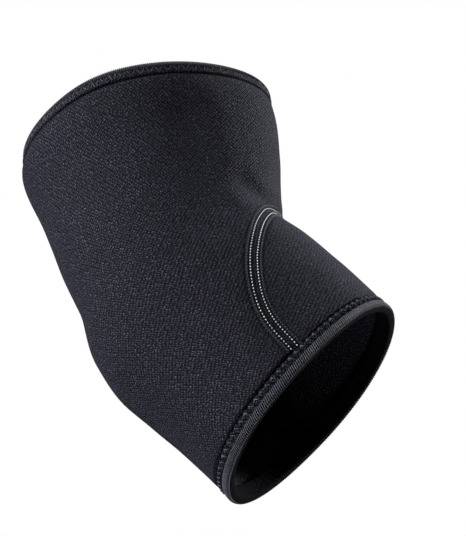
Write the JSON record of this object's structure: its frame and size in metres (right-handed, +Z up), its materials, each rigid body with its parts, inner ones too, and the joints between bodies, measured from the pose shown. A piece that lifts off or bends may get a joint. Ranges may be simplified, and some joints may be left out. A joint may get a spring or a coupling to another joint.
{
  "type": "elbow brace",
  "caption": "Neoprene elbow sleeve as worn on a bent arm, with a tongue-shaped panel below the crook, a flat arched seam and a stitched hem at each open end.",
  "frame": {"origin": "centre of the elbow, where the axes of the upper arm and the forearm cross", "axes": "+Z up the upper arm towards the shoulder, +X out of the crook of the elbow, Y across the arm; the side seen in the picture faces -Y"},
  "size_m": [0.1402, 0.1036, 0.1888],
  "materials": {
    "main_knit": "matte knitted cloth on neoprene, fine light flecks",
    "crook_knit": "matte knitted cloth on neoprene, fine light flecks",
    "seam_thread": "white needle threads over dark looper threads",
    "upper_hem_cloth": "matte cloth under dark overlock threads",
    "lower_hem_cloth": "matte cloth under dark zigzag threads, smooth rounded edge"
  },
  "bodies": {
    "root": {"main_panel": "main_knit", "crook_panel": "crook_knit", "crook_seam": "seam_thread", "upper_hem": "upper_hem_cloth", "lower_hem": "lower_hem_cloth"}
  },
  "joints": []
}
